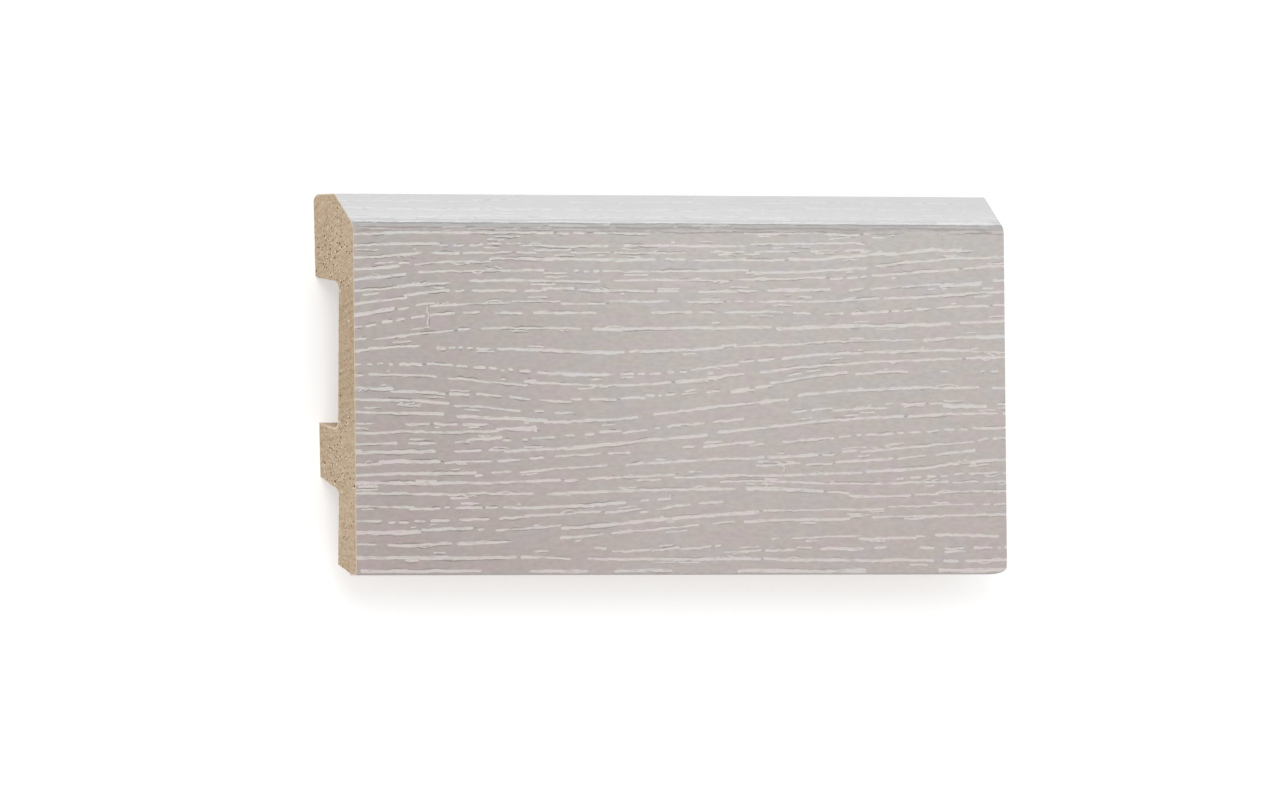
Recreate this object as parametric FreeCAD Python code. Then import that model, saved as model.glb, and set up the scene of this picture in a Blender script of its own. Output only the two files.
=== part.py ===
import FreeCAD, Part
import math
import os

# A film-wrapped skirting board length, in millimetres.
# It lies on the backs of its two ribs, face up: +X runs along the board, +Y points
# to the bevelled top edge and +Z comes out of the room side.
# The section is drawn square to the face: height is measured up the face from the
# floor edge, and depth is measured in from the face.

# Overall sizes
board_length = 161.5
board_height = 80.0
top_thickness = 16.0
back_taper_deg = 1.75

# Decor film, laid on the core and cut square at both of its edges
film_thickness = 0.3

# Bevel along the top of the face, with its rounded arris and crest
bevel_drop = 6.8
bevel_depth = 7.5
arris_radius = 2.6
crest_radius = 1.0

# Top edge: the film stops where the back corner of the core begins to turn
back_corner_radius = 1.2

# Floor edge: a narrow flat under the face, then a long chamfer up to the foot
toe_radius = 0.6
toe_flat_width = 2.5
toe_chamfer_rise = 2.1
foot_depth_at_toe = 7.5

# Foot, between the floor edge and the lower rib
foot_depth_at_rib = 6.8
foot_top_height = 17.9
foot_fillet = 2.0

# Lower rib: a level back, a sloping underside and a hooked top for a wall clip
lower_rib_bottom_height = 20.8
lower_rib_top_height = 32.2
hook_slope_deg = 11.0
hook_fillet = 1.5

# Clip channel between the ribs
web_depth_at_hook = 6.9
web_depth_at_top = 6.1

# Upper rib: its underside slopes to the channel, and its lip is broken by a chamfer
upper_rib_bottom_height = 62.4
upper_rib_slope_deg = 6.0
upper_rib_fillet = 1.8
lip_chamfer_rise = 0.6
lip_chamfer_depth = 1.3

# Angles and places worked out from the sizes above
back_taper = math.radians(back_taper_deg)
arris_height = board_height - bevel_drop


def back_depth(height):
    """Depth of the plane through both rib backs, at a height on the face."""
    return top_thickness - (board_height - height) * math.tan(back_taper)


def towards(start, end, distance):
    """Point at a distance from start on the straight line to end."""
    run = math.dist(start, end)
    share = distance / run
    return (start[0] + (end[0] - start[0]) * share, start[1] + (end[1] - start[1]) * share)


def crossing(point_a, point_b, point_c, point_d):
    """Point where the line through a and b meets the line through c and d."""
    ab = (point_b[0] - point_a[0], point_b[1] - point_a[1])
    cd = (point_d[0] - point_c[0], point_d[1] - point_c[1])
    ac = (point_c[0] - point_a[0], point_c[1] - point_a[1])
    share = (ac[0] * cd[1] - ac[1] * cd[0]) / (ab[0] * cd[1] - ab[1] * cd[0])
    return (point_a[0] + ab[0] * share, point_a[1] + ab[1] * share)


def lay_down(point):
    """A (height, depth) point of the section, turned so that the rib backs are level."""
    height, depth = point
    above_floor_edge = height * math.cos(back_taper) + depth * math.sin(back_taper)
    out_of_back = height * math.sin(back_taper) - depth * math.cos(back_taper)
    return FreeCAD.Vector(0, above_floor_edge, out_of_back)


def inset_line(start, end, distance):
    """Both ends of a straight run, moved in from the room side by a distance."""
    run = math.dist(start, end)
    inward = ((start[1] - end[1]) / run * distance, (end[0] - start[0]) / run * distance)
    moved_start = (start[0] + inward[0], start[1] + inward[1])
    moved_end = (end[0] + inward[0], end[1] + inward[1])
    return moved_start, moved_end


def film_back_edge():
    """Depth on the top edge where the core's back corner begins to turn."""
    setback = back_corner_radius * math.tan((math.pi / 2 + back_taper) / 2)
    return back_depth(board_height - film_thickness) - setback


def room_side(inset):
    """Corners and radii of the room side, from the floor edge to the top edge.

    The path is moved into the board by inset, so the film's two faces share it.
    """
    corners = [
        (0.0, toe_flat_width),
        (0.0, 0.0),
        (arris_height, 0.0),
        (board_height, bevel_depth),
        (board_height, film_back_edge()),
    ]
    radii = [0.0, toe_radius, arris_radius, crest_radius, 0.0]
    lines = [inset_line(a, b, inset) for a, b in zip(corners, corners[1:])]
    moved = [lines[0][0]]
    for line, following in zip(lines, lines[1:]):
        moved.append(crossing(*line, *following))
    moved.append(lines[-1][1])
    return [(point, max(radius - inset, 0.0)) for point, radius in zip(moved, radii)]


def back_side():
    """Corners and radii of the milled back, from the top edge to the floor edge."""
    hook_drop = math.tan(math.radians(hook_slope_deg))
    rib_drop = math.tan(math.radians(upper_rib_slope_deg))
    top = board_height - film_thickness

    rib_back = back_depth(upper_rib_bottom_height)
    lip_start = upper_rib_bottom_height + lip_chamfer_rise
    lip_end_depth = rib_back - lip_chamfer_depth
    underside = (upper_rib_bottom_height, lip_end_depth)
    underside_run = (underside[0] - rib_drop, underside[1] - 1.0)

    hook_tip = (lower_rib_top_height, back_depth(lower_rib_top_height))
    hook_run = (hook_tip[0] - hook_drop, hook_tip[1] - 1.0)

    web_top = (upper_rib_bottom_height, web_depth_at_top)
    web_hook = (lower_rib_top_height, web_depth_at_hook)
    upper_corner = crossing(underside, underside_run, web_top, web_hook)
    lower_corner = crossing(hook_tip, hook_run, web_top, web_hook)

    return [
        ((top, back_depth(top)), back_corner_radius),
        ((lip_start, back_depth(lip_start)), 0.0),
        (underside, 0.0),
        (upper_corner, upper_rib_fillet),
        (lower_corner, hook_fillet),
        (hook_tip, 0.0),
        ((lower_rib_bottom_height, back_depth(lower_rib_bottom_height)), 0.0),
        ((foot_top_height, foot_depth_at_rib), foot_fillet),
        ((film_thickness + toe_chamfer_rise, foot_depth_at_toe), 0.0),
    ]


def tangent_arc(before, corner, after, radius):
    """Start, middle and end of the arc that rounds one corner."""
    turn = math.atan2(after[1] - corner[1], after[0] - corner[0])
    turn -= math.atan2(corner[1] - before[1], corner[0] - before[0])
    half_turn = abs(math.remainder(turn, 2 * math.pi)) / 2
    setback = radius * math.tan(half_turn)
    start = towards(corner, before, setback)
    end = towards(corner, after, setback)
    chord_middle = ((start[0] + end[0]) / 2, (start[1] + end[1]) / 2)
    to_centre = radius / math.cos(half_turn)
    middle = towards(corner, chord_middle, to_centre - radius)
    return start, middle, end


def straight_edge(start, end):
    return Part.LineSegment(lay_down(start), lay_down(end)).toShape()


def outline_face(corners):
    """Flat face inside a closed outline of straight runs and tangent arcs."""
    rounds = []
    for index, (corner, radius) in enumerate(corners):
        before = corners[index - 1][0]
        after = corners[(index + 1) % len(corners)][0]
        if radius > 0:
            rounds.append(tangent_arc(before, corner, after, radius))
        else:
            rounds.append((corner, corner, corner))
    edges = []
    for index, (start, middle, end) in enumerate(rounds):
        if start != end:
            edges.append(Part.Arc(lay_down(start), lay_down(middle), lay_down(end)).toShape())
        next_start = rounds[(index + 1) % len(rounds)][0]
        edges.append(straight_edge(end, next_start))
    return Part.Face(Part.Wire(edges))


def mdf_core_section():
    """Fibreboard core: the room side under the film, closed by the milled back."""
    front = room_side(film_thickness)
    return outline_face(front[:-1] + back_side())


def decor_film_section():
    """Film: the band between the board's room side and the core's."""
    outer = room_side(0.0)
    inner = room_side(film_thickness)
    return outline_face(outer + inner[::-1])


def sawn_length(section, centre_height, lowest):
    """Section placed on the frame's origin and run along the board."""
    section.translate(FreeCAD.Vector(-board_length / 2, -centre_height, -lowest))
    return section.extrude(FreeCAD.Vector(board_length, 0, 0))


sections = {"mdf_core": mdf_core_section(), "decor_film": decor_film_section()}
whole = Part.makeCompound(list(sections.values())).BoundBox
middle_of_height = (whole.YMin + whole.YMax) / 2
level_of_back = whole.ZMin

os.makedirs("parts", exist_ok=True)
for node, section in sections.items():
    solid = sawn_length(section, middle_of_height, level_of_back)
    solid.exportStep(f"parts/{node}.step")
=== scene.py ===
import bisect
import math
import random

import bpy
from mathutils import Matrix, Vector
from mathutils.geometry import delaunay_2d_cdt


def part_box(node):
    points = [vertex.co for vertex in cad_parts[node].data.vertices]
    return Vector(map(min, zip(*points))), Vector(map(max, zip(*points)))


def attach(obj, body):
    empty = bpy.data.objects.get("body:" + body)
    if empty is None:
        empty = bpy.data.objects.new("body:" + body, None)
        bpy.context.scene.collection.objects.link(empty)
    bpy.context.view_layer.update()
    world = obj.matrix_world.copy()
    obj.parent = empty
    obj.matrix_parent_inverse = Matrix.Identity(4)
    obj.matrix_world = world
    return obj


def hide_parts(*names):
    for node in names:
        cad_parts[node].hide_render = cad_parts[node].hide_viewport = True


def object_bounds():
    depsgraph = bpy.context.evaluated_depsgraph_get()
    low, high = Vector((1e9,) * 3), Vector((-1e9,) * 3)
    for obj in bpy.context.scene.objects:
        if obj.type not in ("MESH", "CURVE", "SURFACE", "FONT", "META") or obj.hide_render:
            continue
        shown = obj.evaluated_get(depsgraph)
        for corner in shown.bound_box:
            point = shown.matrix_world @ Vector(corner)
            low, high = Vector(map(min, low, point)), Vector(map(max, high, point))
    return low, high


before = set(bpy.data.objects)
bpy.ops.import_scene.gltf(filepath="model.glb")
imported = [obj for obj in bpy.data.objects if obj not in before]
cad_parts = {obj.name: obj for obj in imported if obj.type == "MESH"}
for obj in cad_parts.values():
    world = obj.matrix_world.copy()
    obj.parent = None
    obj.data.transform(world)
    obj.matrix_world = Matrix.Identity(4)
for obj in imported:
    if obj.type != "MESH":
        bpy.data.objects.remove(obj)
cad_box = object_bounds()

# Sizes are in millimetres on the board's own section, and meshes are handed over in metres.


# The core is one length of fibreboard, pale brown, dense near its faces and looser in its middle.
# Its back is milled from end to end into two ribs, a hooked channel and a foot.
# Both ends are sawn square, which tears small pits and crumbs out of the loose middle.

core_low, core_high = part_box("mdf_core")
half_length = core_high.x * 1000
floor_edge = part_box("decor_film")[0].y * 1000

# Places closer than these count as one: the first is in metres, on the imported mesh
same_plane = 1e-6
touching = 0.005
weld = 1e-4

# The milled back: how finely it is divided, and the faint waves that the cutter leaves along it
back_step = 1.1
cutter_step = 0.6
cutter_pitch = 2.4
cutter_depth = 0.02
cutter_lag = 0.35
cutter_lag_turns = 0.9

# The sawn ends: frayed edges with a burr, a wavy surface, and tears that crowd in the loose middle
burr_length = 0.4
edge_fray = 0.13
sawn_grid = 1.15
sawn_jitter = 0.3
sawn_clearance = 0.25
sawn_waviness = 0.07
loose_middle = 8.3
loose_reach = 3.4
middle_tears = 0.03
stray_tears = 0.008
tears_per_end = 310
tear_corners = 7
tear_sizes = (0.15, 0.27)
rare_tear_growth = 0.18
tear_clearance = 0.05
tear_rim_waviness = 0.6
crumb_sizes = (0.7, 1.0)
pit_depths = (0.8, 1.6)
pit_alone_below = 0.28
crumb_alone_below = 0.45

# The lower right corner, rubbed round
rubbed_length = 4.3
rubbed_height = 1.7
rubbed_squareness = 2.2
rubbed_to = 0.15

# Where the saw tore the board most: (height, depth behind the face, reach up, reach in)
torn_patches = [
    (69, 9, 4.6, 3.8),
    (25.7, 8.4, 2.6, 3.2),
    (20.2, 8.2, 2.2, 3.4),
    (61.5, 4.5, 1.1, 2.4),
    (31.4, 4.8, 1.0, 2.0),
]

# The saw left a broader burr along the hook's upper edge, between these heights
hook_burr_from = 31.0
hook_burr_to = 33.2
hook_burr_width = 0.45
hook_burr_fades_at = 14.5
hook_burr_fades_over = 4.5
hook_burr_fades_to = 0.15
facing_up = 0.03

# The core's finishes, in the order of its materials
sawn, torn, crumb, milled, burr = range(5)


def around(points):
    """Each point with the one after it, round to the first."""
    return list(zip(points, points[1:] + points[:1]))


def end_outline(node):
    """Closed outline of a node's left end as (y, z) points, anticlockwise."""
    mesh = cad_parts[node].data
    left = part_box(node)[0].x
    sides = set()
    for face in mesh.polygons:
        corners = [mesh.vertices[index].co for index in face.vertices]
        if all(abs(corner.x - left) < same_plane for corner in corners):
            places = [(round(corner.y * 1000, 5), round(corner.z * 1000, 5)) for corner in corners]
            sides.update(around(places))
    following = {a: b for a, b in sides if (b, a) not in sides}
    outline = [min(following)]
    while following[outline[-1]] != outline[0]:
        outline.append(following[outline[-1]])
    turned = sum(a[0] * b[1] - b[0] * a[1] for a, b in around(outline))
    return outline if turned > 0 else outline[::-1]


def beside(point, outline):
    return any(math.dist(point, other) < touching for other in outline)


def side_normals(points, closed):
    """Outward normal at each point: the longer of its two sides counts for more."""
    count = len(points)
    normals = []
    for index in range(count):
        total = Vector((0.0, 0.0))
        for start in (index - 1, index):
            if closed or 0 <= start < count - 1:
                a = Vector(points[start % count])
                b = Vector(points[(start + 1) % count])
                total += Vector((b.y - a.y, a.x - b.x))
        normals.append(total.normalized())
    return normals


def encloses(outline, point):
    """Whether a point lies inside a closed outline."""
    inside = False
    for a, b in around(outline):
        if (a[1] > point[1]) != (b[1] > point[1]):
            crossing = a[0] + (point[1] - a[1]) / (b[1] - a[1]) * (b[0] - a[0])
            inside ^= point[0] < crossing
    return inside


def rubbed(x, height):
    """The lower right corner is rubbed round, so the end draws in there."""
    square_part = half_length - rubbed_length
    if x <= square_part or height >= rubbed_height:
        return x
    worn = (1 - max(height, 0) / rubbed_height) ** rubbed_squareness
    kept = max(rubbed_to, (1 - worn) ** (1 / rubbed_squareness))
    return square_part + (x - square_part) * kept


def in_metres(points):
    """Points of a mesh as they are handed over, with the rubbed corner drawn in."""
    return [Vector((rubbed(x, y - floor_edge), y, z)) / 1000 for x, y, z in points]


core_outline = end_outline("mdf_core")
film_outline = end_outline("decor_film")
sides = around(core_outline)
face_start, face_end = max(sides, key=lambda side: math.dist(*side))
face_run = (Vector(face_end) - Vector(face_start)).normalized()


def depth_in(point):
    """Distance of a point of the section behind the line of the room face."""
    out = Vector(point) - Vector(face_start)
    return face_run.x * out.y - face_run.y * out.x


def ring_with_short_sides():
    """The core's outline, with its bare sides divided and those under the film left long."""
    ring = []
    bare = []
    for a, b in sides:
        covered = beside(a, film_outline) and beside(b, film_outline)
        parts = 1 if covered else math.ceil(math.dist(a, b) / back_step)
        for part in range(parts):
            share = part / parts
            ring.append((a[0] + (b[0] - a[0]) * share, a[1] + (b[1] - a[1]) * share))
            bare.append(part > 0 or not beside(a, film_outline))
    return ring, bare


def looseness(place):
    """How readily the board tears at a place of its sawn end."""
    depth = depth_in(place)
    loose = middle_tears * math.exp(-((depth - loose_middle) / loose_reach) ** 2) + stray_tears
    for height, middle, tall, deep in torn_patches:
        off = ((place[0] - floor_edge - height) / tall) ** 2 + ((depth - middle) / deep) ** 2
        loose = max(loose, math.exp(-off))
    return loose


def tear_outline(chance, centre, size, slenderness, turn):
    """Corners of one ragged oval, anticlockwise."""
    corners = []
    for step in range(tear_corners):
        angle = step / tear_corners * 2 * math.pi
        reach = size * chance.uniform(0.75, 1.2)
        out = Vector((math.cos(angle), math.sin(angle) * slenderness)) * reach
        out.rotate(Matrix.Rotation(turn, 2))
        corners.append((centre[0] + out.x, centre[1] + out.y))
    return corners


def hook_burr(ring, chance):
    """Numbers of the ring's points along the hook's upper edge, and the burr's ragged inner line."""
    edge = []
    inner = []
    for number, (point, normal) in enumerate(zip(ring, side_normals(ring, closed=True))):
        if hook_burr_from < point[0] - floor_edge < hook_burr_to and normal.x > facing_up:
            fade = (hook_burr_fades_at - depth_in(point)) / hook_burr_fades_over
            width = hook_burr_width * min(1.0, hook_burr_fades_to + fade)
            width *= chance.uniform(0.6, 1.2)
            edge.append(number)
            inner.append((point[0] - normal.x * width, point[1] - normal.y * width))
    return edge, inner


def sawn_end(ring, chance):
    """One sawn end: its points, what each comes from, how deep it lies, and (triangle, finish) pairs."""
    edge, inner = hook_burr(ring, chance)
    points = ring + inner
    depths = [0.0] * len(points)
    outlines = [list(range(len(ring))), edge + list(range(len(ring), len(points)))[::-1]]
    finishes = [sawn, burr]
    taken = []

    def room_for(centre, reach):
        return all(math.dist(centre, other) > reach + size for other, size in taken)

    tears = 0
    while tears < tears_per_end:
        centre = (chance.uniform(core_low.y, core_high.y) * 1000, chance.uniform(0, core_high.z) * 1000)
        size = chance.uniform(*tear_sizes) + rare_tear_growth * chance.random() ** 4
        if chance.random() > looseness(centre) or not room_for(centre, size + tear_clearance):
            continue
        turn = chance.uniform(0, math.pi)
        slenderness = chance.uniform(0.4, 0.8)
        away = chance.choice((-1, 1)) * size * (slenderness + 0.5)
        crumb_centre = (centre[0] - math.sin(turn) * away, centre[1] + math.cos(turn) * away)
        parts = [(torn, centre, size), (crumb, crumb_centre, size * chance.uniform(*crumb_sizes))]
        kind = chance.random()
        if kind < crumb_alone_below:
            parts = parts[:1] if kind < pit_alone_below else parts[1:]
        shapes = [tear_outline(chance, place, reach, slenderness, turn) for _, place, reach in parts]
        if not all(encloses(ring, corner) for corners in shapes for corner in corners):
            continue
        tears += 1
        for (finish, place, reach), corners in zip(parts, shapes):
            taken.append((place, reach))
            first = len(points)
            points += corners + [place]
            pit_depth = reach * chance.uniform(*pit_depths)
            depths += [sawn_waviness * tear_rim_waviness] * tear_corners
            depths.append(pit_depth if finish == torn else 0.0)
            outlines.append(list(range(first, first + tear_corners)))
            finishes.append(finish)

    across = core_low.y * 1000
    while across < core_high.y * 1000:
        up = 0.0
        while up < core_high.z * 1000:
            aside, along = [chance.uniform(-sawn_jitter, sawn_jitter) for _ in range(2)]
            place = (across + aside, up + along)
            if encloses(ring, place) and room_for(place, sawn_clearance):
                points.append(place)
                depths.append(sawn_waviness * chance.random())
            up += sawn_grid
        across += sawn_grid

    flat = [Vector(point) for point in points]
    made, _, triangles, sources, _, kinds = delaunay_2d_cdt(flat, [], outlines, 1, weld, True)
    made_depths = [depths[source[0]] if source else 0.0 for source in sources]
    made_from = [source[0] if source else None for source in sources]
    inside = [(triangle, finishes[max(kind)]) for triangle, kind in zip(triangles, kinds) if kind]
    return made, made_from, made_depths, inside


def core_mesh():
    """The whole core: its long sides, milled where they are bare, and both sawn ends."""
    chance = random.Random(21)
    ring, bare = ring_with_short_sides()
    normals = side_normals(ring, closed=True)
    count = len(ring)
    frays = {-1: [], 1: []}
    for frayed in frays.values():
        for (y, z), normal, open_side in zip(ring, normals, bare):
            inward = chance.random() ** 2 * edge_fray if open_side else 0.0
            frayed.append((y - normal.x * inward, z - normal.y * inward))

    inner_half = half_length - burr_length
    steps = int(2 * inner_half / cutter_step)
    stations = [-inner_half + 2 * inner_half * step / steps for step in range(steps + 1)]
    stations = [-half_length, *stations, half_length]

    points = []
    for x in stations:
        if abs(x) == half_length:
            points += [(x, y, z) for y, z in frays[math.copysign(1, x)]]
            continue
        for (y, z), normal, open_side in zip(ring, normals, bare):
            lag = cutter_lag * math.sin(y * cutter_lag_turns)
            wave = 0.5 - 0.5 * math.cos(2 * math.pi * x / cutter_pitch + lag)
            cut = cutter_depth * wave if open_side and abs(x) < inner_half else 0.0
            points.append((x, y - normal.x * cut, z - normal.y * cut))

    faces = []
    finishes = []
    for row in range(len(stations) - 1):
        for a, b in around(list(range(row * count, (row + 1) * count))):
            faces.append((a, b, b + count, a + count))
            finishes.append(burr if row in (0, len(stations) - 2) else milled)

    for side in (-1, 1):
        made, made_from, depths, triangles = sawn_end(frays[side], chance)
        ring_start = 0 if side < 0 else (len(stations) - 1) * count
        numbers = []
        for place, source, depth in zip(made, made_from, depths):
            if source is not None and source < count:
                numbers.append(ring_start + source)
            else:
                numbers.append(len(points))
                points.append((side * (half_length - depth), place.x, place.y))
        for triangle, kind in triangles:
            corners = [numbers[index] for index in triangle]
            faces.append(corners if side > 0 else corners[::-1])
            finishes.append(kind)
    return points, faces, finishes


def paint(red, green, blue):
    """A colour given on the 0 to 255 scale, as a linear colour."""
    shares = [value / 255 for value in (red, green, blue)]
    return [s / 12.92 if s < 0.04045 else ((s + 0.055) / 1.055) ** 2.4 for s in shares] + [1]


unchanged = (255, 255, 255)


class Nodes:
    """Short ways to add nodes to a tree."""

    def __init__(self, tree):
        self.tree = tree

    def feed(self, socket, value):
        """Links an output to a socket, or sets the socket to a plain value."""
        if isinstance(value, bpy.types.NodeSocket):
            self.tree.links.new(value, socket)
        else:
            socket.default_value = value

    def node(self, kind, **inputs):
        """A new node, with its sockets fed by name."""
        node = self.tree.nodes.new(kind)
        for name, value in inputs.items():
            self.feed(node.inputs[name], value)
        return node

    def sum(self, operation, *values):
        """One step of arithmetic on outputs and numbers."""
        step = self.node("ShaderNodeMath")
        step.operation = operation
        for socket, value in zip(step.inputs, values):
            self.feed(socket, value)
        return step.outputs[0]


class Finish(Nodes):
    """A material with one shader, and short ways to add noise, ramps and bumps to it."""

    def __init__(self, name, roughness, specular):
        self.material = bpy.data.materials.new(name)
        self.material.use_nodes = True
        super().__init__(self.material.node_tree)
        self.shader = self.tree.nodes["Principled BSDF"]
        self.shader.inputs["Roughness"].default_value = roughness
        self.shader.inputs["Specular IOR Level"].default_value = specular
        self.place = self.node("ShaderNodeTexCoord").outputs["Object"]

    def along(self, axis):
        """The place along X, Y or Z, in metres."""
        return self.node("ShaderNodeSeparateXYZ", Vector=self.place).outputs[axis]

    def share(self, axis):
        """0 at the board's left end or floor edge, and 1 at its right end or top edge."""
        low, high = [corner["XY".index(axis)] for corner in cad_box]
        return self.sum("MULTIPLY_ADD", self.along(axis), 1 / (high - low), -low / (high - low))

    def noise(self, scale, lengthwise=1, detail=3.0):
        """Noise with so many features per metre, and a share of that along the board."""
        stretch = (lengthwise, 1, 1)
        spread = self.node("ShaderNodeMapping", Vector=self.place, Scale=stretch).outputs["Vector"]
        return self.node("ShaderNodeTexNoise", Vector=spread, Scale=scale, Detail=detail).outputs["Fac"]

    def ramp(self, amount, *stops):
        """Colours at places along 0 to 1."""
        ramp = self.node("ShaderNodeValToRGB", Fac=amount)
        marks = ramp.color_ramp.elements
        while len(marks) < len(stops):
            marks.new(0.5)
        for mark, (position, colour) in zip(marks, stops):
            mark.position = position
            mark.color = colour
        return ramp.outputs["Color"]

    def mottle(self, scale, dark, light, lengthwise=1, detail=3.0, marks=(0.35, 0.65)):
        """Two colours in a noise with so many features per metre."""
        stops = zip(marks, (paint(*dark), paint(*light)))
        return self.ramp(self.noise(scale, lengthwise, detail), *stops)

    def mix(self, first, second, amount=1.0, way="MULTIPLY"):
        """The first colour multiplied by the second, or mixed with it."""
        mixer = self.node("ShaderNodeMix", Factor=amount)
        mixer.data_type = "RGBA"
        mixer.blend_type = way
        colours = [socket for socket in mixer.inputs if socket.type == "RGBA"]
        for socket, colour in zip(colours, (first, second)):
            self.feed(socket, colour)
        return next(socket for socket in mixer.outputs if socket.type == "RGBA")

    def colour(self, output):
        self.feed(self.shader.inputs["Base Color"], output)

    def bump(self, height, distance, strength):
        bump = self.node("ShaderNodeBump", Height=height, Distance=distance, Strength=strength)
        self.feed(self.shader.inputs["Normal"], bump.outputs["Normal"])


saw_marks_per_metre = 1700
level_marks_height = 24
marks_turn_by = 9.1
marks_stretch = 0.09


def saw_marks(finish):
    """Fine scratches of the saw: level at the lower rib and climbing to the face near the top."""
    up = finish.along("Y")
    out = finish.along("Z")
    climb = finish.sum("SUBTRACT", up, (floor_edge + level_marks_height) / 1000)
    turned = finish.sum("MULTIPLY", finish.sum("MULTIPLY", climb, out), marks_turn_by)
    across = finish.sum("SUBTRACT", up, turned)
    along = finish.sum("MULTIPLY", out, marks_stretch)
    place = finish.node("ShaderNodeCombineXYZ", X=across, Y=along).outputs["Vector"]
    marks = finish.node("ShaderNodeTexNoise", Vector=place, Scale=saw_marks_per_metre, Detail=1.0)
    return marks.outputs["Fac"]


def sawn_fibreboard():
    """Pale brown with dark and pale specks and saw marks, and a little greyer between the ribs."""
    finish = Finish("sawn_fibreboard", 0.9, 0.2)
    broad = finish.mottle(150, (206, 183, 155), (213, 192, 165), marks=(0.3, 0.7))
    specks = finish.ramp(
        finish.noise(2100, detail=4),
        (0.34, paint(168, 143, 114)),
        (0.45, paint(207, 185, 157)),
        (0.58, paint(212, 191, 164)),
        (0.70, paint(238, 222, 200)),
    )
    board = finish.mix(broad, specks, 0.6, "MIX")
    full = paint(*unchanged)
    web = paint(245, 243, 240)
    darker_web = finish.ramp(finish.share("Y"), (0.38, full), (0.46, web), (0.72, web), (0.8, full))
    board = finish.mix(board, darker_web)
    marks = saw_marks(finish)
    shade = finish.ramp(marks, (0.35, paint(241, 240, 238)), (0.6, full))
    finish.colour(finish.mix(board, shade))
    relief = finish.sum("ADD", finish.noise(1700, detail=5), finish.sum("MULTIPLY", marks, 0.6))
    finish.bump(relief, 0.0001, 0.8)
    return finish.material


def torn_pit():
    """Darker brown inside the pits: painted shade of the recess."""
    finish = Finish("torn_pit", 1.0, 0.1)
    finish.colour(finish.mottle(900, (128, 100, 70), (164, 137, 105)))
    return finish.material


def pale_crumb():
    """Pale fibres that stand up beside the pits."""
    finish = Finish("pale_crumb", 0.95, 0.1)
    finish.colour(finish.mottle(1200, (232, 214, 188), (247, 235, 214)))
    return finish.material


def milled_fibreboard():
    """Warm pale brown in broad patches, with fine fibres that the cutter drew along the board."""
    finish = Finish("milled_fibreboard", 0.82, 0.25)
    broad = finish.mottle(90, (216, 189, 163), (225, 200, 176), 0.3, marks=(0.3, 0.7))
    fibres = finish.mottle(1500, (198, 170, 143), (234, 213, 191), 0.45, 4, (0.32, 0.66))
    finish.colour(finish.mix(broad, fibres, 0.4, "MIX"))
    finish.bump(finish.noise(1100, 0.4, 5), 0.00009, 0.7)
    return finish.material


def pale_burr():
    """The saw leaves a pale burr along the bare edges of each end."""
    finish = Finish("pale_burr", 0.9, 0.15)
    finish.colour(finish.mottle(800, (222, 203, 174), (238, 223, 199)))
    finish.bump(finish.noise(1600, detail=4), 0.0001, 0.8)
    return finish.material


def in_scene(data):
    """A new object of the scene, named after its mesh, lamp or camera."""
    thing = bpy.data.objects.new(data.name, data)
    bpy.context.scene.collection.objects.link(thing)
    return thing


def new_piece(mesh, finishes, materials):
    """A mesh object on the frame's root, with each face given its finish."""
    for material in materials:
        mesh.materials.append(material)
    mesh.polygons.foreach_set("material_index", finishes)
    piece = in_scene(mesh)
    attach(piece, "root")
    return piece


sharp_over_deg = 28

points, faces, finishes = core_mesh()
mesh = bpy.data.meshes.new("fibreboard_core")
mesh.from_pydata(in_metres(points), [], faces)
mesh.shade_smooth()
mesh.set_sharp_from_angle(angle=math.radians(sharp_over_deg))
materials = [sawn_fibreboard(), torn_pit(), pale_crumb(), milled_fibreboard(), pale_burr()]
core = new_piece(mesh, finishes, materials)
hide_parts("mdf_core")


# The decor film is one printed and embossed sheet, 0.3 mm thick, glued round the room side.
# It starts under the floor edge and runs up the face, over the arris and bevel to the top edge.
# Its limed oak grain is a pattern of ragged pale pores, pressed a little into a warm grey ground.

film_thickness = 0.3
pore_depth = 0.05


def outer_side_of_film():
    """The film's outer line, from the floor edge over the bevel to the top edge."""
    count = len(film_outline)
    outer = [not beside(point, core_outline) for point in film_outline]
    first = next(index for index in range(count) if outer[index] and not outer[index - 1])
    run = [film_outline[(first + step) % count] for step in range(sum(outer))]
    return run if run[0][0] < run[-1][0] else run[::-1]


film_run = outer_side_of_film()
film_normals = [-normal for normal in side_normals(film_run, closed=False)]
film_marks = [0.0]
for a, b in zip(film_run, film_run[1:]):
    film_marks.append(film_marks[-1] + math.dist(a, b))
film_width = film_marks[-1]
straight_runs = [(a, b) for a, b in zip(film_marks, film_marks[1:]) if b - a > 1]

# Places up the film where the colour changes: the print, the painted sheen of the near-white bevel, and
# the painted shade of the grey band over the arris
face_starts, arris_starts = straight_runs[1]
upper_arris_starts = arris_starts + 1.0
bevel_starts = straight_runs[2][0] - 0.1
bevel_foot_ends = bevel_starts + 1.25
bevel_ends = straight_runs[2][1]


def on_film(up, under=0.0):
    """Place and outward normal on the section, so far up the unrolled film and so far under it."""
    index = min(max(bisect.bisect_right(film_marks, up) - 1, 0), len(film_run) - 2)
    share = (up - film_marks[index]) / (film_marks[index + 1] - film_marks[index])
    normal = film_normals[index].lerp(film_normals[index + 1], share).normalized()
    place = Vector(film_run[index]).lerp(Vector(film_run[index + 1]), share)
    return place - normal * under, normal


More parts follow.
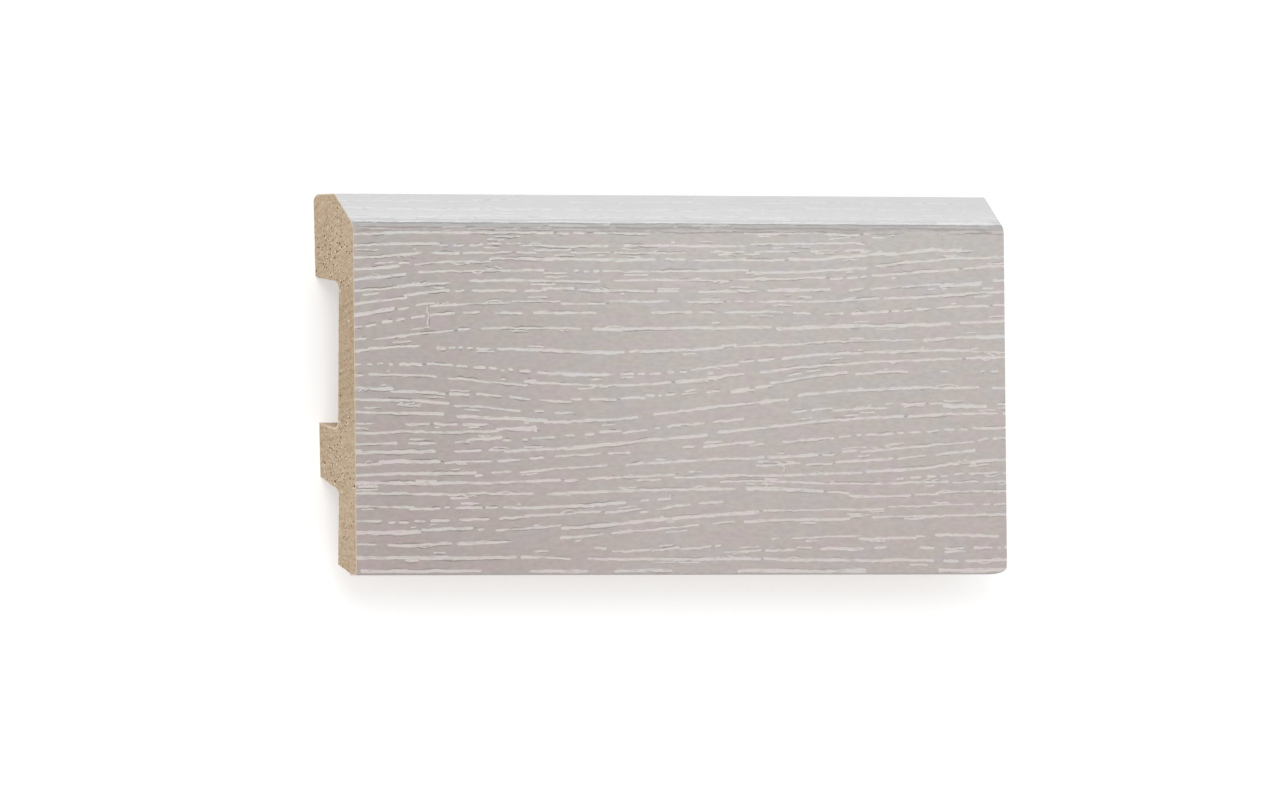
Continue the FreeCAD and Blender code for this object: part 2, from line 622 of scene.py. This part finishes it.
# Where the grain climbs or falls: (x, place up the film, reach along, reach across, slope)
grain_drifts = [
    (-72, 62, 16, 9, 0.11),
    (-72, 54, 16, 6, 0.09),
    (-40, 45, 20, 5, -0.06),
    (-58, 47, 12, 5, -0.03),
    (20, 45, 30, 6, 0.11),
    (64, 60, 26, 10, 0.055),
    (50, 68, 30, 5, 0.05),
    (-46, 38, 22, 4.5, -0.085),
    (8, 36, 34, 6, 0.10),
    (-30, 30, 45, 4, 0.05),
    (60, 30, 30, 5, 0.055),
    (-20, 24, 40, 4, 0.05),
    (66, 25, 22, 5, 0.075),
    (34, 20, 26, 3.5, -0.06),
    (-4, 16, 26, 3.5, 0.085),
    (60, 17, 20, 3, 0.04),
    (-24, 10, 34, 4, 0.075),
    (10, 10, 20, 3, 0.06),
    (-20, 4.5, 50, 2.5, -0.03),
]

# Where the pores are broader: (x, place up the film, reach along, reach across, extra share)
broad_grain = [
    (-70, 14, 24, 14, 0.25),
    (-60, 42, 26, 12, 0.18),
    (-66, 56, 14, 4, 0.2),
    (4, 34, 32, 22, 0.15),
    (58, 7, 26, 3, 0.25),
]


def patched(value, patches, x, up):
    """A value at a place on the film, changed by patches that fade out from their middles."""
    for centre, middle, along, across, extra in patches:
        value += extra * math.exp(-((x - centre) / along) ** 2 - ((up - middle) / across) ** 2)
    return value


# How far apart rows of pores lie, from each of these places up the film on. A row ends where
# another is nearer than the first share of that, and starts only beyond the second.
row_spacings = [(0, 2.8), (20, 2.3), (38, 2.6), (62, 2.5)]
row_ends_within = 0.62
row_starts_beyond = 0.93
row_search_step = 0.12
shortest_row = 12
row_reach = math.ceil(half_length)
row_seeds = (-40, 40, -60, 60, -20, 20, -70, 70, -50, 50, -30, 30, -10, 10)


def grow_rows():
    """Rows that follow the grain from end to end and keep their distance, each {x: place}."""
    rows = []

    def crowding(x, up):
        """Distance to the nearest row at this x, as a share of the spacing."""
        spacing = [spacing for start, spacing in row_spacings if max(up, 0) >= start][-1]
        gaps = [abs(row[x] - up) for row in rows if x in row]
        return min(gaps, default=9.0) / spacing

    def grow(seed_x, seed_up):
        row = {seed_x: seed_up}
        for step in (1, -1):
            x = seed_x
            up = seed_up
            while -row_reach <= x + step <= row_reach:
                up += step * patched(0.0, grain_drifts, x + step / 2, up)
                x += step
                if crowding(x, up) < row_ends_within:
                    break
                row[x] = up
        return row

    for seed_x in (-row_reach, row_reach, 0, *row_seeds):
        up = 0.5
        while up < film_width:
            if crowding(seed_x, up) > row_starts_beyond:
                row = grow(seed_x, up)
                if len(row) > shortest_row:
                    rows.append(row)
            up += row_search_step
    return rows


def row_level(row, x):
    """Place of a row up the film at any x."""
    left = min(max(math.floor(x), min(row)), max(row) - 1)
    share = min(max(x - left, 0.0), 1.0)
    return row[left] * (1 - share) + row[left + 1] * share


class Wander:
    """A smooth seeded wander along the board, to either side by its reach at most."""

    past_ends = 5

    def __init__(self, chance, wavelength, reach):
        self.wavelength = wavelength
        self.reach = reach
        count = int(2 * (half_length + self.past_ends) / wavelength) + 4
        self.knots = [chance.uniform(-1, 1) for _ in range(count)]

    def __call__(self, x):
        place = (x + half_length + self.past_ends) / self.wavelength
        index = min(max(int(place), 0), len(self.knots) - 2)
        share = place - index
        share = share * share * (3 - 2 * share)
        return self.reach * (self.knots[index] * (1 - share) + self.knots[index + 1] * share)


def rounding(place):
    """Height of a half circle at a place from -1 to 1 across it."""
    return math.sqrt(max(0.0, 1 - place ** 2))


pore_step = 0.4
thinnest_half = 0.08
tapered_tips = 0.12
tilt_spread = 0.005


def pore(chance, row, start, end, half_width, offset, arch=0.0, slant=0.0):
    """One ragged pore as stations from left to right: (x, lower edge, middle, upper edge)."""
    belly = Wander(chance, wavelength=chance.uniform(3.0, 6.0), reach=0.2)
    lean = Wander(chance, wavelength=chance.uniform(5.0, 11.0), reach=0.17)
    jog = Wander(chance, wavelength=1.4, reach=0.08)
    rags = [Wander(chance, wavelength=0.5, reach=0.06) for _ in range(2)]
    lumps = [Wander(chance, wavelength=1.9, reach=0.25) for _ in range(2)]
    longest_tip = 0.45 * (end - start)
    tips = []
    for _ in range(2):
        tapered = chance.random() < tapered_tips
        tip = chance.uniform(1.5, 5.0) if tapered else chance.uniform(0.12, 0.35)
        tips.append(min(tip, longest_tip))
    tilt = slant + chance.gauss(0, tilt_spread)
    low = max(start, -half_length)
    high = min(end, half_length)
    count = max(4, int((high - low) / pore_step))
    stations = []
    for index in range(count + 1):
        x = low + (high - low) * index / count
        share = (x - start) / (end - start)
        close = 1.0
        for reach, tip in zip((x - start, end - x), tips):
            close *= rounding(1 - min(reach / tip, 1.0))
        middle = row_level(row, x) + offset + tilt * (x - (start + end) / 2)
        middle += lean(x) + jog(x) + arch * math.sin(math.pi * share)
        width = half_width * patched(1.0, broad_grain, x, middle) * (1 + belly(x))
        below, above = [
            max(width * (1 + lump(x)) + rag(x), thinnest_half) * close for lump, rag in zip(lumps, rags)
        ]
        stations.append((x, middle - below, middle, middle + above))
    return stations


length_per_stray = 20
bowed_strays = 0.16


def stray_beside(chance, row, start, end, half_width, offset):
    """A short fine pore beside a longer one, or one that bows away from it and back."""
    side = chance.choice((-1, 1))
    length = chance.uniform(0.8, 6.5)
    first = chance.uniform(start, max(start, end - length))
    arch = 0.0
    if chance.random() < bowed_strays:
        arch = side * chance.uniform(0.45, 0.65)
        half_width = chance.uniform(0.12, 0.17)
    else:
        offset += side * (half_width + chance.uniform(0.25, 0.75))
        half_width = chance.uniform(0.13, 0.2)
    return pore(chance, row, first, first + length, half_width, offset, arch)


tuft_share = 0.26
tuft_after = 8
tuft_room = 4


def tuft_beside(chance, row, start, end, half_width, offset):
    """A few short slanting flecks that hang on one side of a pore."""
    side = chance.choice((-1, 1))
    slant = chance.choice((-1, 1)) * chance.uniform(0.15, 0.4)
    x = chance.uniform(start, end - tuft_room)
    flecks = []
    for _ in range(chance.randint(2, 4)):
        length = chance.uniform(1.1, 2.2)
        aside = offset + side * (half_width + chance.uniform(0.0, 0.2))
        fleck_half_width = chance.uniform(0.11, 0.16)
        flecks.append(pore(chance, row, x, x + length, fleck_half_width, aside, slant=slant))
        x += chance.uniform(0.8, 1.7)
    return flecks


# What a row's pores are drawn from: each span is for picks, from 0 to 1, below its number
half_widths = [(0.5, (0.195, 0.25)), (0.88, (0.25, 0.31)), (1, (0.31, 0.37))]
whole_row_lengths = [(0.25, (2, 7)), (0.6, (9, 24)), (1, (22, 52))]
whole_row_gaps = [(0.25, (0.5, 2.5)), (0.6, (0.5, 5)), (1, (0.5, 3.5))]
broken_row_lengths = [(0.6, (1.5, 8)), (1, (8, 20))]
broken_row_gaps = [(0.7, (0.6, 2.5)), (1, (3, 14))]
broken_rows = 0.33
fine_grain_above = 62
fine_grain_share = 0.9
shortest_pore = 0.45
short_pore = 9
short_pore_half_width = 0.24

# A row that comes this near an end of the board runs past it
near_end = 0.5

# Every row is broken in this part of the film: its span along the board, and its span up the film
short_grain = [(-81, -45), (8, 32)]

# Runs of dashes, dark bridges of painted shadow over narrow gaps, and pores that start beside the last
# one's end
dashes_start = 0.05
bridge_share = 0.3
bridge_after = 6
bridge_overlap = 0.15
bridge_half_width = 0.11
step_share = 0.3
step_after = 4
furthest_aside = 0.6
offset_kept = 0.4


def drawn(chance, spans, pick):
    """A number from the first span that the pick is below."""
    return chance.uniform(*next(span for below, span in spans if pick < below))


def in_short_grain(*place):
    return all(low < value < high for value, (low, high) in zip(place, short_grain))


def row_of_pores(chance, row):
    """One row of long, middling and short pores, and the dark bridges in its narrow gaps."""
    low = max(min(row), -half_length)
    high = min(max(row), half_length)
    pores = []
    bridges = []
    weight = chance.uniform(0.88, 1.14)
    if row_level(row, 0) > fine_grain_above:
        weight *= fine_grain_share
    broken = chance.random() < broken_rows
    offset = chance.uniform(-0.25, 0.25)
    dashes_left = 0
    x = low - (chance.uniform(0, 2) if low <= near_end - half_length else 0)
    last = high + (1.0 if high >= half_length - near_end else 0)
    while x < high:
        pick = chance.random()
        if dashes_left == 0 and chance.random() < dashes_start:
            dashes_left = chance.randint(2, 5)
        if dashes_left:
            dashes_left -= 1
            length = chance.uniform(0.9, 4.0)
            gap = chance.uniform(0.35, 1.3)
        elif broken or in_short_grain(x, row_level(row, x)):
            length = drawn(chance, broken_row_lengths, pick)
            gap = drawn(chance, broken_row_gaps, chance.random())
        else:
            length = drawn(chance, whole_row_lengths, pick)
            gap = drawn(chance, whole_row_gaps, pick)
        end = min(x + length, last)
        if end - x > shortest_pore:
            half_width = drawn(chance, half_widths, chance.random()) * weight
            if length < short_pore:
                half_width = min(half_width, short_pore_half_width)
            place = (row, x, end, half_width, offset)
            pores.append(pore(chance, *place))
            for _ in range(int((end - x) / length_per_stray + chance.random() * 0.9)):
                pores.append(stray_beside(chance, *place))
            if end - x > tuft_after and chance.random() < tuft_share:
                pores += tuft_beside(chance, *place)
        if length > bridge_after and chance.random() < bridge_share:
            gap = chance.uniform(0.35, 0.8)
            ends = (end - bridge_overlap, end + gap + bridge_overlap)
            bridges.append(pore(chance, row, *ends, bridge_half_width, offset))
        if chance.random() < step_share and length > step_after:
            step = chance.choice((-1, 1)) * chance.uniform(0.35, 0.65)
            offset = step if abs(offset + step) > furthest_aside else offset + step
            gap = -chance.uniform(0.1, 1.6)
        elif not dashes_left:
            offset = offset_kept * offset + chance.uniform(-0.22, 0.22)
        x = end + gap
    return pores, bridges


# Pores, and hairlines of painted shade, along the board's edges: (place up the film, half widths, gaps
# between them)
edge_pores = [
    (face_starts + 0.25, (0.24, 0.42), (4, 18)),
    (arris_starts + 0.42, (0.08, 0.14), (3, 16)),
    (bevel_starts + 0.32, (0.1, 0.18), (1, 8)),
]
edge_seams = [
    (arris_starts - 0.05, (0.08, 0.14), (2, 18)),
    (upper_arris_starts - 0.12, (0.12, 0.2), (0.5, 6)),
    (bevel_starts - 0.2, (0.13, 0.2), (0.3, 2.5)),
    (bevel_starts + 0.8, (0.12, 0.2), (1, 6)),
    (bevel_ends - 0.35, (0.16, 0.3), (0.5, 5)),
]


def pores_along(chance, level, widths, gaps):
    """Pores or hairlines that run along an edge of the board at one level."""
    row = {x: level for x in range(-row_reach, row_reach + 1)}
    pores = []
    x = 1 - row_reach
    while x < half_length:
        length = chance.uniform(8, 38)
        half_width = chance.uniform(*widths)
        pores.append(pore(chance, row, x, min(x + length, row_reach), half_width, 0.0))
        x += length + chance.uniform(*gaps)
    return pores


# Small marks across the grain, as bruises leave them: (x, place up the film, height)
marks_across_grain = [(-62.9, 56.6, 4.6), (20.6, 21.3, 2.0), (25.0, 24.7, 1.7)]
mark_width = 0.38


def mark_across(x, up, height, width):
    """A mark across the grain: three slivers in the form of pores, placed by shares of its size."""
    slivers = []
    for aside, foot, top in [(-0.5, 0.08, 0.5), (0.45, -0.2, 0.2), (-0.2, -0.5, -0.12)]:
        left = x + aside * width
        low = up + foot * height
        high = up + top * height
        middle = (low + high) / 2
        slivers.append([
            (left, middle - 0.2, middle, middle + 0.3),
            (left + 0.35 * width, low, middle, high),
            (left + 0.7 * width, low + 0.2, middle, high - 0.3),
            (left + width, middle - 0.4, middle, middle + 0.1),
        ])
    return slivers


# Stretches of the film that rows of pores keep to, and the least of a pore that shows at an end
pored_stretches = [
    (0.5, film_marks[1]),
    (face_starts + 0.9, bevel_starts - 0.45),
    (bevel_starts + 0.35, film_width - 0.5),
]
least_at_end = 0.4


def on_board(stations):
    """Whether a pore or bridge shows on the board and lies whole on one of those stretches."""
    last = half_length - least_at_end
    middles = [middle for _, _, middle, _ in stations]
    whole = any(low < min(middles) and max(middles) < high for low, high in pored_stretches)
    return whole and stations[0][0] < last and stations[-1][0] > -last


def all_pores(chance):
    """Every pore of the film, and the dark bridges between some of them."""
    pores = []
    bridges = []
    for row in grow_rows():
        made, between = row_of_pores(chance, row)
        pores += [stations for stations in made if on_board(stations)]
        bridges += [stations for stations in between if on_board(stations)]
    for level, widths, gaps in edge_pores:
        pores += pores_along(chance, level, widths, gaps)
    for x, up, height in marks_across_grain:
        pores += mark_across(x, up, height, mark_width)
    return pores, bridges


# Hairlines of painted shadow beside the pores: more of them towards the left end, and most lie below
# their pore
seam_share_at_left = 0.95
seam_share_at_right = 0.75
length_per_seam = 16
seam_after = 1.2
seams_below = 0.7
seam_tuck = 0.02


def seam_beside(chance, stations):
    """A dark hairline of painted shadow along a stretch of one side of a pore, where there is room for
    one.
    """
    length = stations[-1][0] - stations[0][0]
    first = chance.uniform(0, 0.7)
    last = min(1.0, first + chance.uniform(1.5, 14) / length)
    steps = len(stations) - 1
    stretch = stations[int(first * steps):int(last * steps) + 1]
    if len(stretch) < 4:
        return []
    width = chance.uniform(0.16, 0.3)
    rag = Wander(chance, wavelength=0.8, reach=0.4)
    below_it = chance.random() < seams_below
    hairline = []
    for index, (x, low, _, high) in enumerate(stretch):
        reach = width * rounding(2 * index / (len(stretch) - 1) - 1) * (1 + rag(x))
        if below_it:
            hairline.append((x, low - reach, low, low + seam_tuck))
        else:
            hairline.append((x, high - seam_tuck, high, high + reach))
    return [hairline]


def all_seams(chance, pores):
    """Dark hairlines of painted shadow along the arris, bevel and many pores."""
    seams = []
    for level, widths, gaps in edge_seams:
        seams += pores_along(chance, level, widths, gaps)
    for x, up, height in marks_across_grain:
        seams += mark_across(x + 1.1 * mark_width, up - 0.3, 0.8 * height, 0.6 * mark_width)
    for stations in pores:
        length = stations[-1][0] - stations[0][0]
        to_right = (stations[0][0] + half_length) / (2 * half_length)
        share = seam_share_at_left + (seam_share_at_right - seam_share_at_left) * to_right
        for _ in range(1 + int(length / length_per_seam)):
            if length >= seam_after and chance.random() <= share:
                seams += seam_beside(chance, stations)
    return seams


# The film's finishes come in threes: one set for each zone up the film, then its cut edge.
zone_ends = [face_starts, arris_starts - 0.1, upper_arris_starts, bevel_starts, bevel_foot_ends]
ground, lime, seam = range(3)
cut_edge = 3 * (len(zone_ends) + 1)

# A pore has an upper line where it is wider than the first, and a middle line past the second
least_width = 1e-3
middle_line_width = 0.1


def film_skin():
    """The unrolled outer skin: (x, up) points, triangles, and whether each is ground, lime or seam."""
    chance = random.Random(7)
    flat = [(-half_length, 0.0), (half_length, 0.0)]
    flat += [(half_length, film_width), (-half_length, film_width)]
    edges = []
    outlines = [[0, 1, 2, 3]]
    finishes = [ground]
    for mark in film_marks[1:-1]:
        edges.append((len(flat), len(flat) + 1))
        flat += [(-half_length, mark), (half_length, mark)]
    pores, bridges = all_pores(chance)
    for finish, shapes in ((seam, all_seams(chance, pores) + bridges), (lime, pores)):
        for stations in shapes:
            lower = [(x, low) for x, low, _, _ in stations]
            upper = [(x, high) for x, low, _, high in stations if high - low > least_width]
            first = len(flat)
            flat += lower + upper[::-1]
            outlines.append(list(range(first, len(flat))))
            finishes.append(finish)
            if finish == lime:
                first = len(flat)
                wide = [place for place in stations if place[3] - place[1] > middle_line_width]
                flat += [(x, middle) for x, _, middle, _ in wide]
                edges += [(index, index + 1) for index in range(first, len(flat) - 1)]
    flat = [Vector(place) for place in flat]
    places, _, triangles, _, _, kinds = delaunay_2d_cdt(flat, edges, outlines, 1, weld, True)
    return places, triangles, [finishes[max(kind, default=0)] for kind in kinds]


def film_lining(rim, places):
    """The film's inner side, drawn between the rim of its skin: points, faces, and rim numbers."""
    numbers = sorted({index for edge in rim for index in edge})
    order = {index: number for number, index in enumerate(numbers)}
    flat = [places[index] for index in numbers]
    edges = [(order[a], order[b]) for a, b in rim]
    for mark in film_marks[1:-1]:
        ends = [number for number, place in enumerate(flat) if abs(place.y - mark) < weld]
        ends.sort(key=lambda number: flat[number].x)
        edges.append((ends[0], ends[-1]))
    made, _, triangles, sources, _, _ = delaunay_2d_cdt(flat, edges, [], 1, weld, True)
    points = []
    number_of = {}
    for number, (place, source) in enumerate(zip(made, sources)):
        inside, _ = on_film(place.y, film_thickness)
        points.append((place.x, inside.x, inside.y))
        for original in source:
            number_of[numbers[original]] = number
    return points, [triangle[::-1] for triangle in triangles], number_of


def film_mesh():
    """The whole film: its skin with sunk pores, its lining and its cut edges, with split normals."""
    places, triangles, kinds = film_skin()
    at_surface = set()
    directed = set()
    finishes = []
    for triangle, kind in zip(triangles, kinds):
        directed.update(around(triangle))
        if kind != lime:
            at_surface.update(triangle)
        up = sum(places[index].y for index in triangle) / 3
        finishes.append(3 * bisect.bisect(zone_ends, up) + kind)
    rim = sorted((a, b) for a, b in directed if (b, a) not in directed)

    points = []
    for index, (x, up) in enumerate(places):
        place, _ = on_film(up, 0.0 if index in at_surface else pore_depth)
        points.append((x, place.x, place.y))
    lining_points, lining_faces, number_of = film_lining(rim, places)
    first = len(points)
    points += lining_points
    faces = triangles + [[first + index for index in face] for face in lining_faces]
    faces += [(a, first + number_of[a], first + number_of[b], b) for a, b in rim]
    finishes += [cut_edge] * (len(faces) - len(finishes))
    smooth = [finish < cut_edge and finish % 3 != lime for finish in finishes]
    normals = []
    for face, rounded in zip(faces, smooth):
        for index in face:
            normal = on_film(places[index].y)[1] if rounded else Vector((0, 0))
            normals.append((0.0, normal.x, normal.y))
    return points, faces, finishes, smooth, normals


# The tone goes from the left one to the right one between these shares of the length. The face's darker
# left end is painted shade, as the light falls off there.
tone_turns_from = 0.08
tone_turns_to = 0.5

# Tints by share of the height, and hues of small patches, which both multiply the tone. The face's tints
# are painted shade, darker and rosier towards the floor edge; the bevel's darkens its top edge, where
# its painted sheen fades.
even = [(0.0, unchanged), (1.0, unchanged)]
rosier_down = [(0.05, (244, 238, 238)), (0.9, unchanged)]
warmer_down = [(0.05, (248, 243, 244)), (0.9, unchanged)]
painted_sheen_fades_up = [(0.93, unchanged), (0.97, (249, 249, 249))]
neutral = [unchanged, (253, 253, 253)]
wandering = [(255, 251, 254), (254, 252, 249), (251, 253, 250), (251, 253, 255)]


def print_and_painted_light(finish, blotches, reach, tones, tints=even, hues=neutral):
    """Tone from left to right, shifted by blotches of so much reach, and tinted. The tones and tints
    carry painted shade and painted sheen along with the print.
    """
    left, right = [paint(*tone) for tone in tones]
    along = finish.sum("MULTIPLY_ADD", blotches, reach, finish.share("X"))
    tone = finish.ramp(along, (tone_turns_from + reach / 2, left), (tone_turns_to + reach / 2, right))
    tint = finish.ramp(finish.share("Y"), *[(height, paint(*colour)) for height, colour in tints])
    shades = [(0.38 + 0.24 * step / (len(hues) - 1), paint(*hue)) for step, hue in enumerate(hues)]
    patches = finish.ramp(finish.noise(260, 0.4, 4), *shades)
    return finish.mix(finish.mix(tone, tint), patches)


def film_ground(zone, tones, flecks, roughness, tints=even, hues=neutral):
    """Grey print between the pores, with painted shade darker towards the left end, and fine darker
    flecks.
    """
    finish = Finish(f"ground_{zone}", roughness, 0.4)
    colour = print_and_painted_light(finish, finish.noise(16, 0.5, 2), 0.25, tones, tints, hues)
    flecked = finish.mottle(1400, (flecks, flecks, flecks), unchanged, 0.4, 2, (0.32, 0.68))
    finish.colour(finish.mix(colour, flecked))
    finish.bump(finish.noise(900, 0.2, 3), 0.00003, 0.35)
    return finish.material


def film_lime(zone, tones, roughness, tints=even, hues=neutral):
    """Pale lime in the pores, with painted shade a little darker towards the left end, and greyer smears
    in it.
    """
    finish = Finish(f"lime_{zone}", roughness, 0.3)
    colour = print_and_painted_light(finish, finish.noise(55, 0.35, 2), 0.5, tones, tints, hues)
    smears = finish.mottle(1300, (236, 236, 234), unchanged, 0.35, 2, (0.3, 0.48))
    finish.colour(finish.mix(colour, smears))
    finish.bump(finish.noise(2200, detail=3), 0.00003, 0.5)
    return finish.material


def film_seam(zone, tones, roughness):
    """Dark hairlines of painted shadow beside pores and along the edges, with painted shade darker
    towards the left end.
    """
    finish = Finish(f"seam_{zone}", roughness, 0.4)
    finish.colour(print_and_painted_light(finish, finish.noise(300, 0.3, 2), 1.0, tones))
    return finish.material


def film_cut_edge():
    """The film's own cream colour, where the saw and the knife cut it."""
    finish = Finish("film_cut_edge", 0.6, 0.3)
    finish.colour(finish.mottle(700, (214, 198, 170), (226, 212, 186), marks=(0.3, 0.7)))
    return finish.material


points, faces, finishes, smooth, normals = film_mesh()
mesh = bpy.data.meshes.new("decor_film_wrap")
mesh.from_pydata(in_metres(points), [], faces)
mesh.polygons.foreach_set("use_smooth", smooth)
mesh.normals_split_custom_set(normals)
materials = [
    # The ground round the floor edge is painted a little lighter than the face beside it: painted light
    # thrown up from the floor.
    film_ground("at_floor_edge", [(183, 173, 169), (192, 184, 180)], 242, 0.45),
    film_lime("at_floor_edge", [(206, 198, 194), (209, 205, 201)], 0.6),
    film_seam("at_floor_edge", [(151, 143, 138), (168, 160, 155)], 0.45),
    film_ground("on_face", [(188, 180, 177), (200, 194, 191)], 243, 0.42, rosier_down, wandering),
    film_lime("on_face", [(216, 212, 208), (220, 216, 213)], 0.6, warmer_down, wandering),
    film_seam("on_face", [(148, 140, 136), (172, 165, 161)], 0.45),
    # The arris zones are painted greyer than the face and the bevel: painted shade where the bevel's
    # sheen stops.
    film_ground("at_arris_foot", [(186, 179, 176), (184, 179, 176)], 242, 0.42),
    film_lime("at_arris_foot", [(204, 198, 197), (198, 193, 191)], 0.6),
    film_seam("at_arris_foot", [(156, 148, 144), (166, 159, 155)], 0.45),
    film_ground("at_arris", [(183, 182, 180), (186, 185, 184)], 242, 0.4),
    film_lime("at_arris", [(203, 198, 195), (199, 198, 194)], 0.6),
    film_seam("at_arris", [(158, 154, 152), (163, 159, 157)], 0.45),
    # The bevel's zones are painted near-white: a painted sheen, the light's reflection on the bevel,
    # over the same print as the face.
    film_ground("at_bevel_foot", [(211, 211, 212), (215, 215, 216)], 249, 0.36),
    film_lime("at_bevel_foot", [(228, 228, 229), (230, 230, 231)], 0.5),
    film_seam("at_bevel_foot", [(205, 205, 207), (208, 208, 210)], 0.4),
    film_ground("on_bevel", [(222, 222, 222), (221, 221, 221)], 250, 0.36, painted_sheen_fades_up),
    film_lime("on_bevel", [(230, 230, 231), (227, 227, 228)], 0.5, painted_sheen_fades_up),
    film_seam("on_bevel", [(212, 212, 213), (213, 213, 214)], 0.4),
    film_cut_edge(),
]
film = new_piece(mesh, finishes, materials)
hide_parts("decor_film")


# The board lies on its ribs on a plain white floor, which isn't part of it.
# The floor shows white to the camera and in reflections, and keeps the board's soft shadow.
# From here on places and sizes are in metres.

floor_reach = 12.0
floor_own_light = 0.45
floor_shade = 0.72


def seen_or_mirrored(nodes):
    """1 for the camera's rays and for those that gloss or glass sends on, else 0."""
    rays = nodes.node("ShaderNodeLightPath").outputs
    mirrored = nodes.sum("MAXIMUM", rays["Is Glossy Ray"], rays["Is Transmission Ray"])
    return nodes.sum("MAXIMUM", rays["Is Camera Ray"], mirrored)


mesh = bpy.data.meshes.new("floor")
corners = [(x, y, 0) for y in (-floor_reach, floor_reach) for x in (-floor_reach, floor_reach)]
mesh.from_pydata(corners, [], [(0, 1, 3, 2)])
floor = in_scene(mesh)
finish = Finish("white_floor", 0.9, 0.0)
finish.shader.inputs["Base Color"].default_value = (floor_shade, floor_shade, floor_shade, 1)
finish.shader.inputs["Emission Color"].default_value = (1, 1, 1, 1)
glow = finish.sum("MULTIPLY", seen_or_mirrored(finish), floor_own_light)
finish.feed(finish.shader.inputs["Emission Strength"], glow)
mesh.materials.append(finish.material)


# Plain studio light: an even white surround, and one broad lamp.
# The lamp stands high beyond the top edge, towards the left end, so that the bevel is brighter
# than the face.

surround_level = 0.78
lamp_level = 0.85
lamp_spread_deg = 40
lamp_from = Vector((-0.42, 0.5, 0.76))

world = bpy.data.worlds.new("white_surround")
bpy.context.scene.world = world
world.use_nodes = True
surround = Nodes(world.node_tree)
level = surround.node("ShaderNodeMix", Factor=seen_or_mirrored(surround), A=surround_level, B=1.0)
background = world.node_tree.nodes["Background"]
background.inputs["Color"].default_value = (1, 1, 1, 1)
surround.feed(background.inputs["Strength"], level.outputs["Result"])

lamp = bpy.data.lights.new("broad_lamp", "SUN")
lamp.energy = lamp_level
lamp.angle = math.radians(lamp_spread_deg)
in_scene(lamp).rotation_euler = lamp_from.to_track_quat("Z", "Y").to_euler()


# The camera stands far off with a long lens, so that the board's edges stay nearly parallel.
# It is turned to the sawn left end, and tipped a little towards the floor edge.

lens = 900.0
sensor_width = 36.0
nearest_seen = 1.0
furthest_seen = 40.0
camera_distance = 6.7357
turned_to_left_end_deg = 32.08
tipped_to_floor_edge_deg = 1.03
rolled_deg = -0.54
aim_right = -0.00522
aim_up = -0.00313

# The camera starts square to the face, which face_run runs down
square_to_face = Matrix.Rotation(math.atan2(-face_run.y, -face_run.x), 3, "X")
turned = Matrix.Rotation(math.radians(-turned_to_left_end_deg), 3, "Y")
tipped = Matrix.Rotation(math.radians(tipped_to_floor_edge_deg), 3, "X")
rolled = Matrix.Rotation(math.radians(rolled_deg), 3, "Z")
attitude = square_to_face @ turned @ tipped @ rolled
middle = (cad_box[0] + cad_box[1]) / 2

camera = in_scene(bpy.data.cameras.new("camera"))
camera.data.lens = lens
camera.data.sensor_width = sensor_width
camera.data.clip_start = nearest_seen
camera.data.clip_end = furthest_seen
camera.rotation_euler = attitude.to_euler()
camera.location = middle + attitude @ Vector((aim_right, aim_up, camera_distance))
bpy.context.scene.camera = camera
bpy.context.scene.view_settings.view_transform = "Standard"

bpy.context.view_layer.update()
